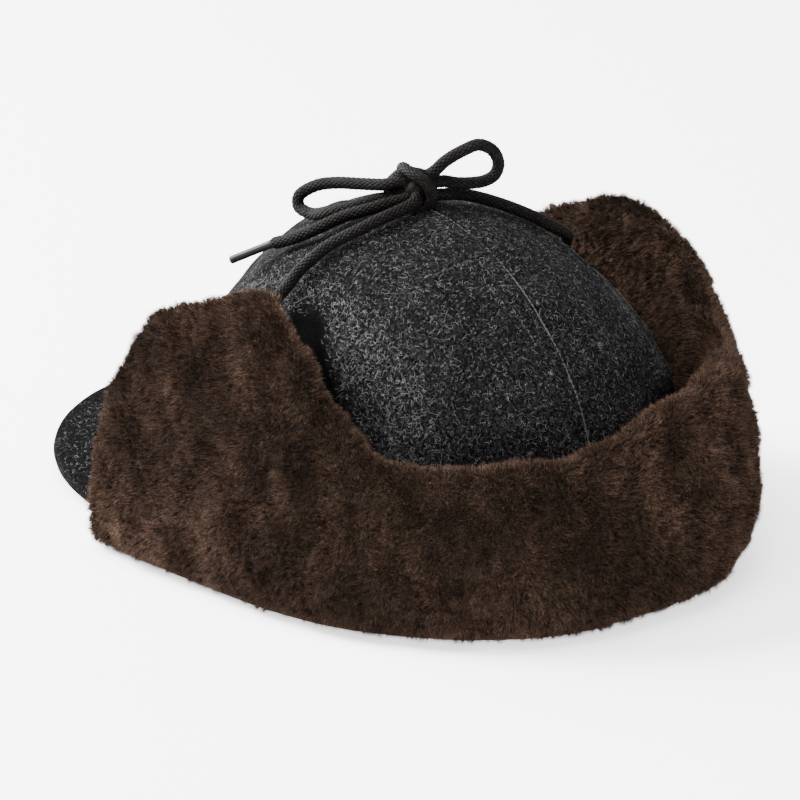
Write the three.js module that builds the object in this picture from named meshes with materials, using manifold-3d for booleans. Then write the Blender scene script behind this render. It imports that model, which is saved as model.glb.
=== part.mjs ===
// A wool winter cap with a peak. A sheepskin flap runs round the sides and the back. It is turned up
// against the crown, fleece outwards, and two braided cords from its ear tips are tied in a bow on top.
// Millimetres, +Z up. The peak points along -Y, and +X is the wearer's left.
import * as THREE from "three";
import { mergeVertices } from "three/addons/utils/BufferGeometryUtils.js";
import Module from "manifold-3d";

const wasm = await Module();
wasm.setup();

// The crown, a dome of double wool cloth in four sewn panels. The bow pulls its top to the wearer's left.
const crownWidth = 170;
const crownLength = 197;
const crownHeight = 129.5;
const crownLean = 9.5;
const crownSwell = 0.06;
const woolWall = 3;
const rimLift = 10;
const seamGap = 0.3;
const middleSeam = 10;
const leftSeam = 59;
const crownColumns = 40;
const crownRows = 11;

// The peak, a stiffened crescent under the front of the crown.
const peakOverhang = 3;
const peakReach = 180;
const peakShoulder = 60;
const peakRootTurn = 67;
const peakRootHeight = 28;
const peakDroop = 4;
const peakArch = 17;
const peakWall = 5;
const peakColumns = 22;
const peakRows = 4;

// The turned-up flap: a cloth that faces the crown, and the sheepskin with its fleece outside it.
const earHeight = 126;
const clothWall = 2.2;
const fleeceDepth = 21.5;
const foldDepth = 9.5;
const foldLedge = 2.4;
const lockRelief = 1.5;
const flapColumns = 84;

// The tie cords and their plastic tips.
const cordDiameter = 4.8;
const tipDiameter = 3.2;
const tipLength = 18;
const knotWidth = 16;
const knotLength = 14;
const knotHeight = 12;

// The clearance between pieces that touch on the real cap.
const pieceGap = 0.4;

const halfWidth = crownWidth / 2;
const halfLength = crownLength / 2;
const peakWidth = crownWidth + 2 * peakOverhang;
const rightSeam = middleSeam - (leftSeam - middleSeam);

// Where the inner face of the flap stands, from the middle of the back to its front end, as shares of the
// crown's half width and half length.
const flapPlan = [
  { across: 0, back: 1.05 },
  { across: 0.353, back: 1.02 },
  { across: 0.612, back: 0.893 },
  { across: 0.812, back: 0.711 },
  { across: 0.985, back: 0.457 },
  { across: 1.068, back: 0.182 },
  { across: 1.09, back: -0.101 },
  { across: 1.096, back: -0.406 },
  { across: 1.092, back: -0.66 },
  { across: 1.075, back: -0.832 },
];

// The flap's form from the middle of the back (along 0) to its front end (along 1). height is a share of
// earHeight, higher by tilt on the wearer's right and lower by it on the left. depth is a share of
// fleeceDepth, and stand how far the top leans outwards, in shares of fleeceDepth too.
const flapForm = [
  { along: 0, height: 0.63, tilt: 0, depth: 1.0, stand: 0 },
  { along: 0.12, height: 0.63, tilt: 0.06, depth: 1.02, stand: 0 },
  { along: 0.22, height: 0.63, tilt: 0.07, depth: 1.02, stand: 0 },
  { along: 0.32, height: 0.61, tilt: 0.065, depth: 1.02, stand: 0 },
  { along: 0.39, height: 0.64, tilt: 0.07, depth: 1.0, stand: -0.08 },
  { along: 0.44, height: 0.71, tilt: 0.07, depth: 1.0, stand: -0.15 },
  { along: 0.49, height: 0.82, tilt: 0.07, depth: 0.98, stand: -0.24 },
  { along: 0.55, height: 0.92, tilt: 0.03, depth: 0.96, stand: -0.34 },
  { along: 0.605, height: 0.98, tilt: 0, depth: 0.95, stand: -0.4 },
  { along: 0.67, height: 0.97, tilt: 0, depth: 0.95, stand: -0.4 },
  { along: 0.745, height: 0.91, tilt: 0, depth: 0.95, stand: -0.4 },
  { along: 0.87, height: 0.81, tilt: 0, depth: 0.95, stand: -0.4 },
  { along: 0.93, height: 0.66, tilt: 0, depth: 0.93, stand: -0.36 },
  { along: 0.962, height: 0.46, tilt: 0, depth: 0.88, stand: -0.3 },
  { along: 0.983, height: 0.27, tilt: 0, depth: 0.74, stand: 0 },
  { along: 1, height: 0.15, tilt: 0, depth: 0.5, stand: 0 },
];

// The fleece's cross-section, round from the underside of the fold to its inner lip. out is a share of its depth,
// up a share of its height, and lock how much of the lock relief shows there.
const fleeceOutline = [
  { out: 0.4, up: 0, lock: 0 },
  { out: 0.72, up: 0.03, lock: 0.4 },
  { out: 0.92, up: 0.1, lock: 1 },
  { out: 1.03, up: 0.2, lock: 1 },
  { out: 1.08, up: 0.31, lock: 1 },
  { out: 1.07, up: 0.42, lock: 1 },
  { out: 1.04, up: 0.53, lock: 1 },
  { out: 0.99, up: 0.64, lock: 1 },
  { out: 0.92, up: 0.75, lock: 1 },
  { out: 0.82, up: 0.86, lock: 1 },
  { out: 0.66, up: 0.95, lock: 1 },
  { out: 0.44, up: 1.0, lock: 1 },
  { out: 0.2, up: 0.975, lock: 1 },
  { out: 0.06, up: 0.9, lock: 0.4 },
];
const clothReach = 0.5;

// The routes of the cords, points chosen by hand along each one. An end at the bow starts inside its knot.
const knotCentre = [12, 1, 145.9];
const cordRoutes = {
  cord_lead_left: [
    [16.2, 5.8, 143.3], [20.9, 6.7, 141.9], [32.3, 5.8, 139.6], [44.2, 2.1, 135.3], [52.1, -2.7, 130.9],
    [59.1, -5.8, 125.7], [64.2, -8, 121], [68.8, -8.6, 116.4], [74.2, -8.5, 112.8], [80, -8.2, 110.4],
    [88.6, -8, 108.8],
  ],
  cord_lead_right: [
    [7, 2.6, 142.6], [2.6, 4.8, 142.5], [-3, 6, 141.9], [-9, 9, 140.6], [-17, 15.5, 137.6], [-26, 21.5, 133],
    [-36, 25, 126.8], [-46, 23, 120.8], [-54, 14.5, 115.2], [-62, 5, 108.6], [-70.5, -2.5, 101], [-79.5, -6.5, 94],
    [-90.3, -8, 88.5],
  ],
  cord_loop_left: [
    [16.2, -1.8, 149.3], [20.8, -6.4, 147.6], [24.2, -15, 146.4], [28.8, -27.3, 145], [32.8, -34.5, 143],
    [36.7, -39.8, 138.4], [37.4, -39.2, 134.6], [36.9, -33, 133], [36.6, -21.9, 136.2], [31.4, -13.3, 139.2],
    [23, -8.6, 141.5], [16.3, -4.2, 143.7],
  ],
  cord_loop_right: [
    [9.4, 3, 150.4], [6.5, 5.4, 153], [3.4, 7.8, 156.7], [-2.2, 11.2, 160.4], [-7.8, 14.7, 162.6],
    [-12.7, 17.2, 159.8], [-14.8, 18.1, 154.6], [-13.9, 16.8, 149.8], [-10.4, 14.3, 147.4], [-2.6, 8.8, 146.9],
    [2.2, 5.9, 148], [6.8, 4.2, 147.9],
  ],
  cord_tail_left: [
    [17.6, 0.7, 142.8], [22.2, -0.8, 142], [29.8, -3.8, 140.6], [38.7, -11, 137.2], [46.7, -17.1, 132.7],
    [51.6, -25.2, 127.9], [55, -34.2, 124.2],
  ],
  cord_tail_right: [
    [8.6, -3.6, 143.6], [6, -7.1, 142.7], [-0.7, -14, 141.5], [-7.1, -21.7, 139.4], [-14.6, -30.3, 135.7],
    [-22, -37.9, 130.9], [-29.4, -44.5, 126.6],
  ],
};
const tipDirections = { left: [0.48, -0.78, -0.45], right: [-0.64, -0.62, -0.46] };

// One column of a table, read at a place between its rows along a smooth curve through them.
function column(rows, key, name, at) {
  let i = 0;
  while (i < rows.length - 2 && rows[i + 1][key] < at) i += 1;
  const [a, b] = [rows[i], rows[i + 1]];
  const before = rows[Math.max(i - 1, 0)];
  const after = rows[Math.min(i + 2, rows.length - 1)];
  const span = b[key] - a[key];
  const t = THREE.MathUtils.clamp((at - a[key]) / span, 0, 1);
  const slopeA = ((b[name] - before[name]) / (b[key] - before[key])) * span;
  const slopeB = ((after[name] - a[name]) / (after[key] - a[key])) * span;
  const t2 = t * t;
  const t3 = t2 * t;
  return (2 * t3 - 3 * t2 + 1) * a[name] + (t3 - 2 * t2 + t) * slopeA
    + (3 * t2 - 2 * t3) * b[name] + (t3 - t2) * slopeB;
}

// A closed solid through rings of equal length, with a fan of triangles over each end.
function loft(rings) {
  const count = rings[0].length;
  const vertices = rings.flat().flatMap((p) => [p.x, p.y, p.z]);
  const faces = [];
  for (let r = 0; r < rings.length - 1; r += 1) {
    for (let i = 0; i < count; i += 1) {
      const j = (i + 1) % count;
      const [a, b, c, d] = [r * count + i, r * count + j, (r + 1) * count + j, (r + 1) * count + i];
      faces.push(a, b, c, a, c, d);
    }
  }
  for (const first of [0, (rings.length - 1) * count]) {
    const ring = rings[first / count];
    const middle = vertices.length / 3;
    const sum = ring.reduce((total, p) => total.add(p), new THREE.Vector3()).divideScalar(count);
    vertices.push(sum.x, sum.y, sum.z);
    for (let i = 0; i < count; i += 1) {
      const [a, b] = [first + i, first + ((i + 1) % count)];
      faces.push(...(first === 0 ? [middle, b, a] : [middle, a, b]));
    }
  }
  const geometry = new THREE.BufferGeometry();
  geometry.setAttribute("position", new THREE.Float32BufferAttribute(vertices, 3));
  geometry.setIndex(faces);
  return geometry;
}

// A three.js geometry as a solid that can be cut, and back.
function toSolid(geometry) {
  const bare = new THREE.BufferGeometry();
  bare.setAttribute("position", geometry.getAttribute("position"));
  bare.setIndex(geometry.index);
  const merged = mergeVertices(bare, 1e-4);
  return new wasm.Manifold(new wasm.Mesh({
    numProp: 3,
    vertProperties: new Float32Array(merged.attributes.position.array),
    triVerts: new Uint32Array(merged.index.array),
  }));
}

function fromSolid(solid) {
  const mesh = solid.getMesh();
  const geometry = new THREE.BufferGeometry();
  geometry.setAttribute("position", new THREE.Float32BufferAttribute(mesh.vertProperties, 3));
  geometry.setIndex(new THREE.Uint32BufferAttribute(mesh.triVerts, 1));
  return geometry;
}

// A block between two x planes, taller and longer than the crown.
function slab(fromX, toX) {
  const size = 4 * crownLength;
  return toSolid(new THREE.BoxGeometry(toX - fromX, size, size).translate((fromX + toX) / 2, 0, 0));
}

// The crown's half size at a share of its height, as a share of its half size at the rim.
function crownGirth(rise) {
  const full = Math.pow(1 - Math.pow(rise, 3.2), 0.538);
  return full * (1 + crownSwell * Math.sin(Math.PI * Math.min(1.3 * rise, 1)));
}

// A solid dome with its surface a distance inside the crown's, down to a floor height.
function dome(inset, floor) {
  const rings = [];
  for (let row = 0; row <= crownRows; row += 1) {
    const rise = Math.sin((0.497 * Math.PI * row) / crownRows);
    const girth = crownGirth(rise);
    const height = row === 0 ? floor : rimLift + rise * (crownHeight - inset);
    rings.push(Array.from({ length: crownColumns }, (_, i) => {
      const turn = (2 * Math.PI * i) / crownColumns;
      return new THREE.Vector3(
        (halfWidth - inset) * girth * Math.cos(turn) + crownLean * rise * rise,
        (halfLength - inset) * girth * Math.sin(turn),
        height,
      );
    }));
  }
  return toSolid(loft(rings));
}

// The plan curve of the flap's inner face, from one front end round the back to the other.
const flapCurve = new THREE.CatmullRomCurve3([
  ...flapPlan.slice(1).reverse().map((p) => new THREE.Vector3(-p.across * halfWidth, p.back * halfLength, 0)),
  ...flapPlan.map((p) => new THREE.Vector3(p.across * halfWidth, p.back * halfLength, 0)),
]);

// Place, outward direction and form of the flap at each of its sections, which crowd towards the front ends.
const flapSections = Array.from({ length: flapColumns + 1 }, (_, index) => {
  const even = (2 * index) / flapColumns - 1;
  const along = Math.abs(even) * (1.3 - 0.3 * Math.abs(even));
  const share = 0.5 + 0.5 * Math.sign(even) * along;
  const tangent = flapCurve.getTangentAt(share);
  return {
    index,
    place: flapCurve.getPointAt(share),
    outward: new THREE.Vector3(-tangent.y, tangent.x, 0).normalize(),
    height: earHeight * (column(flapForm, "along", "height", along)
      - Math.sign(even) * column(flapForm, "along", "tilt", along)),
    depth: fleeceDepth * column(flapForm, "along", "depth", along),
    stand: fleeceDepth * column(flapForm, "along", "stand", along),
  };
});

// A point of a flap section, out from its inner face and up from the table. The section leans with height.
function flapPoint(section, out, up) {
  const share = Math.max((up - foldDepth) / (earHeight - foldDepth), 0);
  const lean = section.stand * Math.pow(share, 2.2);
  return section.place.clone().addScaledVector(section.outward, out + lean).setZ(up);
}

// The heights up a section at which the cloth and the face behind it have their points.
function clothSteps(section) {
  const top = Math.max(clothReach * section.height, foldDepth + 2);
  return [0, 1 / 3, 2 / 3, 1].map((share) => foldDepth + (top - foldDepth) * share);
}

// The fleece's section: the rounded outer side in locks, the face behind the cloth, and the fold under the rim.
function fleeceRing(section) {
  const { height, depth, index } = section;
  const inner = clothWall + pieceGap;
  const fold = foldDepth - pieceGap;
  const outside = fleeceOutline.map((row, j) => {
    const lock = 0.6 * Math.sin(2.1 * index + 1.3 * j) + 0.4 * Math.sin(1.1 * index - 2.3 * j);
    return [inner + row.out * depth + lock * row.lock * lockRelief, row.up * height];
  });
  const behind = clothSteps(section).slice(1).reverse().map((up) => [inner, up]);
  const under = [[inner, fold], [-foldLedge, fold], [-foldLedge, 0.35 * fold]];
  const ring = [[-0.5 * foldLedge, 0], ...outside, ...behind, ...under];
  return ring.map(([out, up]) => flapPoint(section, out, up));
}

// The cloth's section, a strip up from the fold to just under the fleece's rounded top.
function clothRing(section) {
  const steps = clothSteps(section);
  return [
    ...steps.map((up) => flapPoint(section, clothWall, up)),
    ...steps.reverse().map((up) => flapPoint(section, 0, up)),
  ];
}

// A point on the top of the peak. side runs from -1 to 1 across it and share from its root to its edge.
function peakPoint(side, share) {
  const turn = (side * Math.PI) / 2;
  const rootTurn = side * THREE.MathUtils.degToRad(peakRootTurn);
  const girth = crownGirth(0.13);
  const root = new THREE.Vector3(
    (halfWidth * girth + 2 * pieceGap) * Math.sin(rootTurn),
    -(halfLength * girth + 2 * pieceGap) * Math.cos(rootTurn),
    0,
  );
  const edge = new THREE.Vector3(
    0.5 * peakWidth * Math.sign(side) * Math.pow(Math.abs(Math.sin(turn)), 2 / 3),
    -peakShoulder - (peakReach - peakShoulder) * Math.pow(Math.max(Math.cos(turn), 0), 2 / 3),
    0,
  );
  const point = root.lerp(edge, share);
  const across = point.x / (0.5 * peakWidth);
  return point.setZ(peakRootHeight - peakDroop * share - peakArch * across * across);
}

// The peak as a curved slab with a rounded outer edge.
function peak() {
  const rings = [];
  for (let i = 0; i <= peakColumns; i += 1) {
    const side = (2 * i) / peakColumns - 1;
    const top = Array.from({ length: peakRows + 1 }, (_, j) => peakPoint(side, (0.985 * j) / peakRows));
    const nose = peakPoint(side, 1);
    const under = top.map((p) => p.clone().setZ(p.z - peakWall)).reverse();
    rings.push([...top, nose.setZ(nose.z - 0.5 * peakWall), ...under]);
  }
  return loft(rings);
}

// A cord as a round tube with flat ends.
function tube(points, diameter, steps) {
  const section = new THREE.Shape(Array.from({ length: 8 }, (_, i) => {
    const turn = (Math.PI * i) / 4;
    return new THREE.Vector2((Math.cos(turn) * diameter) / 2, (Math.sin(turn) * diameter) / 2);
  }));
  const path = new THREE.CatmullRomCurve3(points.map((p) => new THREE.Vector3(...p)));
  return new THREE.ExtrudeGeometry(section, { steps, extrudePath: path, bevelEnabled: false });
}

const wool = () => new THREE.MeshStandardMaterial({ color: 0x2b2a2b, roughness: 0.95, metalness: 0 });
const sheepskin = () => new THREE.MeshStandardMaterial({ color: 0x33251d, roughness: 1, metalness: 0 });
const braid = () => new THREE.MeshStandardMaterial({ color: 0x131213, roughness: 0.8, metalness: 0 });
const plastic = () => new THREE.MeshStandardMaterial({ color: 0x4a4a4a, roughness: 0.4, metalness: 0 });

const body = new THREE.Group();
const ties = new THREE.Group();

function add(group, name, geometry, material) {
  const mesh = new THREE.Mesh(geometry, material);
  mesh.name = name;
  group.add(mesh);
}

// The crown is one shell, cut apart at its middle seam and its two side seams.
const shell = dome(0, rimLift).subtract(dome(woolWall, rimLift - woolWall));
const crownPanels = {
  crown_side_left: [leftSeam, crownWidth],
  crown_top_left: [middleSeam, leftSeam],
  crown_top_right: [rightSeam, middleSeam],
  crown_side_right: [-crownWidth, rightSeam],
};
for (const [name, [fromX, toX]] of Object.entries(crownPanels)) {
  add(body, name, fromSolid(shell.intersect(slab(fromX + 0.5 * seamGap, toX - 0.5 * seamGap))), wool());
}
add(body, "peak", peak(), wool());
add(body, "flap_cloth", loft(flapSections.map(clothRing)), wool());
add(body, "flap_fleece", loft(flapSections.map(fleeceRing)), sheepskin());

// The bow: its knot, six lengths of cord that run out of it, and a plastic tip on each tail.
function knot(clearance) {
  const sphere = new THREE.SphereGeometry(0.5, 16, 10);
  sphere.scale(knotWidth + 2 * clearance, knotLength + 2 * clearance, knotHeight + 2 * clearance);
  return sphere.translate(...knotCentre);
}
add(ties, "bow_knot", knot(0), braid());
const knotSpace = toSolid(knot(seamGap));
for (const [name, route] of Object.entries(cordRoutes)) {
  const cord = toSolid(tube(route, cordDiameter, 3 * (route.length - 1)));
  add(ties, name, fromSolid(cord.subtract(knotSpace)), braid());
}
for (const side of ["left", "right"]) {
  const start = new THREE.Vector3(...cordRoutes[`cord_tail_${side}`].at(-1));
  const direction = new THREE.Vector3(...tipDirections[side]).normalize();
  const turned = new THREE.Quaternion().setFromUnitVectors(new THREE.Vector3(0, 1, 0), direction);
  const tip = new THREE.CylinderGeometry(tipDiameter / 2, tipDiameter / 2, tipLength, 10);
  tip.translate(0, tipLength / 2 + 2 * pieceGap, 0).applyQuaternion(turned).translate(...start);
  add(ties, `tip_${side}`, tip, plastic());
}

// The origin is under the middle of everything but the ties, on the table.
const box = new THREE.Box3().setFromObject(body);
const cap = new THREE.Group();
cap.add(body, ties);
cap.position.set(-(box.min.x + box.max.x) / 2, -(box.min.y + box.max.y) / 2, -box.min.z);
export default cap;
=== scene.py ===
"""Dresses the wool cap in Blender: heathered wool with loose pale fibres, a sheared sheepskin flap
turned up round it, and a bow of braided cord on top."""

import bpy
import numpy as np
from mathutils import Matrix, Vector


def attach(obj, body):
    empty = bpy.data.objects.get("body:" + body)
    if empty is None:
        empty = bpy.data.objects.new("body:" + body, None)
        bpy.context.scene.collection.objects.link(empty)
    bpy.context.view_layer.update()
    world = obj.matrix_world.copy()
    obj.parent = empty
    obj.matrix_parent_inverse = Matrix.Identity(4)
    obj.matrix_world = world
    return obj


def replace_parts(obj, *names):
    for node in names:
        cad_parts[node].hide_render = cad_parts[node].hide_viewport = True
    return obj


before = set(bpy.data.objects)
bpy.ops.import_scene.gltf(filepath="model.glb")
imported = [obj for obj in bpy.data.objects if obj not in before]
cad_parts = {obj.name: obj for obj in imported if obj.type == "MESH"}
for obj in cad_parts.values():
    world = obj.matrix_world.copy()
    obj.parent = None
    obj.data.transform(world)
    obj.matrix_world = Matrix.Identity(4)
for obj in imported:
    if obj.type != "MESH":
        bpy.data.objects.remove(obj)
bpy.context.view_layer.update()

bl_info = {
    "name": "Wool cap",
    "version": (1, 0, 0),
    "blender": (4, 5, 0),
    "location": "3D View > Sidebar > Wool Cap",
    "description": "Makes a wool cap with a sheepskin flap and a braided bow",
    "category": "Add Mesh",
}

# The middle of the crown's rim in the part's frame. The shapes below are worked out round it.
RIM_MIDDLE = np.array([0.00002, 0.0248, 0.0])

# The clearance between sewn pieces, and the lowest height of loose strands over the floor.
CLEARANCE = 0.0004
FLOOR_CLEARANCE = 0.0004

# Where the inner face of the flap stands, from the middle of the back to its front end, as shares of the
# crown's half width and half length.
FLAP_PLAN = (
    (0, 1.05), (0.353, 1.02), (0.612, 0.893), (0.812, 0.711), (0.985, 0.457), (1.068, 0.182),
    (1.09, -0.101), (1.096, -0.406), (1.092, -0.66), (1.075, -0.832),
)

# The flap's form from the middle of the back to its front end. Height and tilt are shares of the ear's
# height, depth and stand of the fleece's depth. Tilt is taken off the wearer's left and added to the right.
FLAP_FORM = np.array(
    (
        # along, height, tilt, depth, stand
        (0, 0.63, 0, 1.0, 0),
        (0.12, 0.63, 0.06, 1.02, 0),
        (0.22, 0.63, 0.07, 1.02, 0),
        (0.32, 0.61, 0.065, 1.02, 0),
        (0.39, 0.64, 0.07, 1.0, -0.08),
        (0.44, 0.71, 0.07, 1.0, -0.15),
        (0.49, 0.82, 0.07, 0.98, -0.24),
        (0.55, 0.92, 0.03, 0.96, -0.34),
        (0.605, 0.98, 0, 0.95, -0.4),
        (0.67, 0.97, 0, 0.95, -0.4),
        (0.745, 0.91, 0, 0.95, -0.4),
        (0.87, 0.81, 0, 0.95, -0.4),
        (0.93, 0.66, 0, 0.93, -0.36),
        (0.962, 0.46, 0, 0.88, -0.3),
        (0.983, 0.27, 0, 0.74, 0),
        (1, 0.15, 0, 0.5, 0),
    )
)

# The fleece's cross-section from the underside of the fold to its inner lip: how far out as a share of its
# depth, how far up as a share of its height, and how much of the relief of locks shows.
FLEECE_OUTLINE = np.array(
    (
        (0.4, 0, 0), (0.72, 0.03, 0.4), (0.92, 0.1, 1), (1.03, 0.2, 1), (1.08, 0.31, 1), (1.07, 0.42, 1),
        (1.04, 0.53, 1), (0.99, 0.64, 1), (0.92, 0.75, 1), (0.82, 0.86, 1), (0.66, 0.95, 1),
        (0.44, 1.0, 1), (0.2, 0.975, 1), (0.06, 0.9, 0.4),
    )
)

# The routes of the cords from the rim's middle, points listed along each one.
KNOT_MIDDLE = np.array((0.012, 0.001, 0.1459))
CORD_ROUTES = {
    "lead_left": (
        (0.0162, 0.0058, 0.1433), (0.0209, 0.0067, 0.1419), (0.0323, 0.0058, 0.1396),
        (0.0442, 0.0021, 0.1353), (0.0521, -0.0027, 0.1309), (0.0591, -0.0058, 0.1257),
        (0.0642, -0.008, 0.121), (0.0688, -0.0086, 0.1164), (0.0742, -0.0085, 0.1128),
        (0.08, -0.0082, 0.1104), (0.0886, -0.008, 0.1088),
    ),
    "lead_right": (
        (0.007, 0.0026, 0.1426), (0.0026, 0.0048, 0.1425), (-0.003, 0.006, 0.1419),
        (-0.009, 0.009, 0.1406), (-0.017, 0.0155, 0.1376), (-0.026, 0.0215, 0.133),
        (-0.036, 0.025, 0.1268), (-0.046, 0.023, 0.1208), (-0.054, 0.0145, 0.1152),
        (-0.062, 0.005, 0.1086), (-0.0705, -0.0025, 0.101), (-0.0795, -0.0065, 0.094),
        (-0.0903, -0.008, 0.0885),
    ),
    "loop_left": (
        (0.0162, -0.0018, 0.1493), (0.0208, -0.0064, 0.1476), (0.0242, -0.015, 0.1464),
        (0.0288, -0.0273, 0.145), (0.0328, -0.0345, 0.143), (0.0367, -0.0398, 0.1384),
        (0.0374, -0.0392, 0.1346), (0.0369, -0.033, 0.133), (0.0366, -0.0219, 0.1362),
        (0.0314, -0.0133, 0.1392), (0.023, -0.0086, 0.1415), (0.0163, -0.0042, 0.1437),
    ),
    "loop_right": (
        (0.0094, 0.003, 0.1504), (0.0065, 0.0054, 0.153), (0.0034, 0.0078, 0.1567),
        (-0.0022, 0.0112, 0.1604), (-0.0078, 0.0147, 0.1626), (-0.0127, 0.0172, 0.1598),
        (-0.0148, 0.0181, 0.1546), (-0.0139, 0.0168, 0.1498), (-0.0104, 0.0143, 0.1474),
        (-0.0026, 0.0088, 0.1469), (0.0022, 0.0059, 0.148), (0.0068, 0.0042, 0.1479),
    ),
    "tail_left": (
        (0.0176, 0.0007, 0.1428), (0.0222, -0.0008, 0.142), (0.0298, -0.0038, 0.1406),
        (0.0387, -0.011, 0.1372), (0.0467, -0.0171, 0.1327), (0.0516, -0.0252, 0.1279),
        (0.055, -0.0342, 0.1242),
    ),
    "tail_right": (
        (0.0086, -0.0036, 0.1436), (0.006, -0.0071, 0.1427), (-0.0007, -0.014, 0.1415),
        (-0.0071, -0.0217, 0.1394), (-0.0146, -0.0303, 0.1357), (-0.022, -0.0379, 0.1309),
        (-0.0294, -0.0445, 0.1266),
    ),
}

# The layers of thin curls in the wool: features per metre, width and the share kept, both as values of the
# noise, and a shift in metres that makes each layer its own.
CURL_LAYERS = ((480, 0.03, 0.5, 0.0), (700, 0.04, 0.52, 0.31), (330, 0.018, 0.54, 0.73))
# The nearly black colour of the painted shade on the crown behind the flap.
PAINTED_SHADE_COLOUR = (0.0004, 0.0004, 0.0004, 1)

# The width of the rolled edges at the crown's seams, at its ends and on the flap's cloth, and of the crown's
# edge without dimples.
SEAM_ROLL = 0.0022
RIM_ROLL = 0.002
CLOTH_ROLL = 0.0015
CALM_EDGE = 0.004

# The stitches of the middle seam, and how far they lie beside it.
STITCH_SPACING = 0.0022
STITCH_LENGTH = 0.0024
STITCH_THICKNESS = 0.00065
STITCHES_ASIDE = 0.0013

# The sizes of the pile's clumps, whose strands share a length and a lean, and of the fine tufts whose strands
# meet at their tips.
CLUMP_SIZE = 0.0030
TUFT_SIZE = 0.0008

# Painted shade behind the flap: the crown's wool is drawn nearly black from this far under the flap's edge, over
# a soft border.
FLAP_SHADE_DEPTH = 0.007
FLAP_SHADE_BORDER = 0.012

# The photograph's camera: where it looks, its azimuth and elevation in degrees, its distance in metres and
# its lens and sensor in millimetres.
LOOK_AT = Vector((0.0112, 0.0151, 0.057))
CAMERA_AZIMUTH = 139
CAMERA_ELEVATION = 19
CAMERA_DISTANCE = 2.4
CAMERA_LENS = 276.93
CAMERA_SENSOR = 36
FLOOR_HALF = 9.0

# Each light's azimuth and elevation in degrees, its distance and size in metres and its power in watts.
LIGHTS = {
    "key light": (40, 42, 2.2, 1.0, 210),
    "top light": (110, 78, 2.2, 1.4, 90),
    "back light": (300, 35, 2.6, 1.4, 30),
    "fill light": (150, 35, 2.4, 1.6, 34),
    "front light": (20, 18, 2.4, 1.4, 190),
}

# A round braid: the sides of its tube, its strands each way round, and the length of one strand's crossing.
BRAID_SIDES = 60
BRAID_STRANDS = 10
BRAID_PITCH = 0.0023

# The spacing of a cord's rings along its route.
CORD_STEP = 0.0003
TIP_DIRECTIONS = {"left": (0.48, -0.78, -0.45), "right": (-0.64, -0.62, -0.46)}

# The strand tied round the bow, from the knot's middle: once over the loops, under them and back.
KNOT_WRAP = (
    (0.0009, -0.0077, 0.0052), (0.0032, -0.0044, 0.0081), (0.0040, 0.0026, 0.0071),
    (0.0021, 0.0075, 0.0046), (-0.0004, 0.0083, -0.0012), (0.0006, 0.0058, -0.0061),
    (0.0046, 0.0008, -0.0066), (0.0072, -0.0042, -0.0046), (0.0066, -0.0088, 0.0002),
)
KNOT_BUMP = (
    (0.0050, -0.0068, 0.0002), (0.0050, -0.0062, 0.0040), (0.0034, -0.0034, 0.0062),
    (-0.0006, 0.0010, 0.0060), (-0.0044, 0.0028, 0.0034), (-0.0054, 0.0020, -0.0014),
    (-0.0034, -0.0030, -0.0048), (0.0010, -0.0062, -0.0040),
)


def metres(text, size, about):
    """A length that the user can change."""
    return bpy.props.FloatProperty(name=text, description=about, default=size, unit="LENGTH", precision=4)


def hue(text, shade, about):
    """A colour that the user can change."""
    return bpy.props.FloatVectorProperty(
        name=text, description=about, default=(*shade, 1), size=4, min=0, max=1, subtype="COLOR"
    )


class WoolCapSizes(bpy.types.PropertyGroup):
    """The sizes of the cap's pieces."""

    crown_width: metres("Crown width", 0.170, "Across the crown at its rim")
    crown_length: metres("Crown length", 0.197, "From the crown's front to its back at the rim")
    crown_height: metres("Crown height", 0.1295, "From the rim to the top of the crown")
    crown_lean: metres("Crown lean", 0.0095, "How far the bow pulls the top to the wearer's left")
    rim_lift: metres("Rim lift", 0.010, "How high the crown's rim stands over the table")
    wool_wall: metres("Wool wall", 0.003, "The thickness of the crown's double cloth")
    middle_seam: metres("Middle seam", 0.010, "How far the middle seam lies to the wearer's left")
    seam_spacing: metres("Seam spacing", 0.049, "From the middle seam to each side seam")
    peak_width: metres("Peak width", 0.176, "Across the peak")
    peak_reach: metres("Peak reach", 0.180, "From the crown's middle to the peak's edge")
    peak_shoulder: metres("Peak shoulder", 0.060, "From the crown's middle to where the peak's sides start")
    peak_root_height: metres("Peak root height", 0.028, "The height of the peak's top by the crown")
    peak_droop: metres("Peak droop", 0.004, "How far the peak's edge is below its root")
    peak_arch: metres("Peak arch", 0.017, "How far the peak's sides are below its middle")
    peak_wall: metres("Peak thickness", 0.005, "The thickness of the peak")
    ear_height: metres("Ear height", 0.126, "How high the ear flaps stand")
    cloth_wall: metres("Cloth wall", 0.0022, "The thickness of the flap's cloth side")
    fleece_depth: metres("Fleece depth", 0.0215, "From the flap's cloth to the outside of the fleece")
    fold_depth: metres("Fold depth", 0.0095, "The height of the fleece folded under the crown's rim")
    fold_ledge: metres("Fold ledge", 0.0024, "How far the fold reaches in under the rim")
    lock_relief: metres("Lock relief", 0.0015, "How deep the relief of locks in the fleece is")
    pile_length: metres("Pile length", 0.0046, "The length of the sheared pile that shows")
    cord_diameter: metres("Cord diameter", 0.0048, "The thickness of the braided cord")
    tip_diameter: metres("Tip diameter", 0.0032, "The thickness of the plastic tips")
    tip_length: metres("Tip length", 0.018, "The length of the plastic tips")
    pile_count: bpy.props.IntProperty(
        name="Pile strands", description="How many strands the fleece shows", default=700000, min=1000
    )
    fibre_count: bpy.props.IntProperty(
        name="Loose fibres", description="How many pale fibres lie on the wool", default=20000, min=100
    )


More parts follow.
